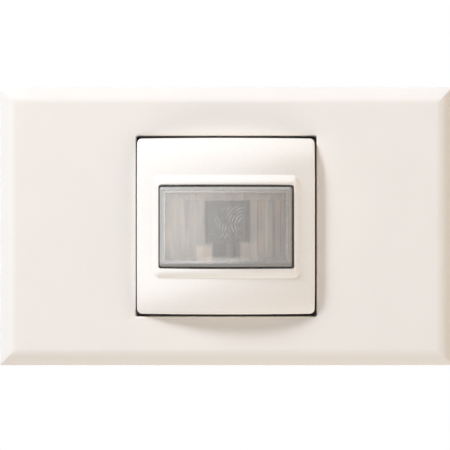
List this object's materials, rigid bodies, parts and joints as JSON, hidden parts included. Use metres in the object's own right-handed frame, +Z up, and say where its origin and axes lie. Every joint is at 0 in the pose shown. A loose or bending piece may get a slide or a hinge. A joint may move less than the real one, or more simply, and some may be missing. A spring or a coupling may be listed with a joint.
{
  "type": "motion sensor light switch",
  "caption": "Wall plate with a square clip-in module: a domed push pad round a curved segmented motion-sensing lens, on a slotted mounting frame with a rear housing and screw terminals.",
  "frame": {"origin": "centre of the two box screw slots, on the wall plane", "axes": "+X right along the plate's long side, +Y into the wall, +Z up; the front faces -Y"},
  "size_m": [0.1142, 0.0426, 0.0702],
  "materials": {
    "plate_plastic": "satin",
    "pad_plastic": "gloss",
    "lens_plastic": "milky, semi-gloss",
    "frame_plastic": "matte, glass-filled",
    "carrier_plastic": "matte",
    "tray_plastic": "matte",
    "holder_plastic": "matte",
    "can_metal": "dark nickel",
    "filter_glass": "dark mirror",
    "led_milky": "milky",
    "led_clear": "clear",
    "board_laminate": "solder mask",
    "chip_plastic": "matte",
    "key_plastic": "matte",
    "dial_plastic": "matte",
    "spring_steel": "drawn wire",
    "trimmer_plastic": "matte",
    "relay_plastic": "semi-gloss",
    "film_plastic": "matte",
    "sleeve_plastic": "shrink sleeve",
    "varistor_coat": "epoxy coat",
    "fuse_ceramic": "ceramic",
    "terminal_plastic": "matte",
    "brass": "plain",
    "zinc_steel": "zinc plated",
    "housing_plastic": "fine spark texture"
  },
  "bodies": {
    "switch_body": {"cover_plate": "plate_plastic", "mounting_frame": "frame_plastic", "front_carrier": "carrier_plastic", "fresnel_lens": "lens_plastic", "optics_tray": "tray_plastic", "sensor_holder": "holder_plastic", "pyro_can": "can_metal", "pyro_window": "filter_glass", "indicator_led": "led_milky", "light_sensor": "led_clear", "sensor_board": "board_laminate", "signal_chip": "chip_plastic", "key_switch": "key_plastic", "return_springs": "spring_steel", "time_trimmer": "trimmer_plastic", "light_trimmer": "trimmer_plastic", "board_connector": "chip_plastic", "power_board": "board_laminate", "relay": "relay_plastic", "film_capacitor": "film_plastic", "smoothing_capacitor": "sleeve_plastic", "varistor": "varistor_coat", "fuse": "fuse_ceramic", "terminal_block": "terminal_plastic", "terminal_clamps": "brass", "terminal_screws": "zinc_steel", "rear_housing": "housing_plastic", "housing_screws": "zinc_steel"},
    "pad": {"push_pad": "pad_plastic"},
    "key": {"key_plunger": "dial_plastic"},
    "time_knob": {"time_dial": "dial_plastic"},
    "light_knob": {"light_dial": "dial_plastic"}
  },
  "joints": [
    {"name": "pad_press", "type": "hinge", "parent": "switch_body", "child": "pad", "pos_m": [0, -0.0067, 0.0182], "axis": [1, 0, 0], "range_deg": [0, 1.5], "stiffness_Nm_per_rad": 1, "springref_deg": -5.73, "deforming": ["return_springs"]},
    {"name": "key_travel", "type": "slide", "parent": "switch_body", "child": "key", "axis": [0, 1, 0], "range_m": [0, 0.0009]},
    {"name": "time_turn", "type": "hinge", "parent": "switch_body", "child": "time_knob", "pos_m": [-0.0075, -0.0044, 0.01525], "axis": [0, -1, 0], "range_deg": [-135, 135]},
    {"name": "light_turn", "type": "hinge", "parent": "switch_body", "child": "light_knob", "pos_m": [0.0075, -0.0044, 0.01525], "axis": [0, -1, 0], "range_deg": [-135, 135]}
  ],
  "couplings": [
    {"joint": "key_travel", "follows": "pad_press", "m_per_rad": 0.0342}
  ]
}
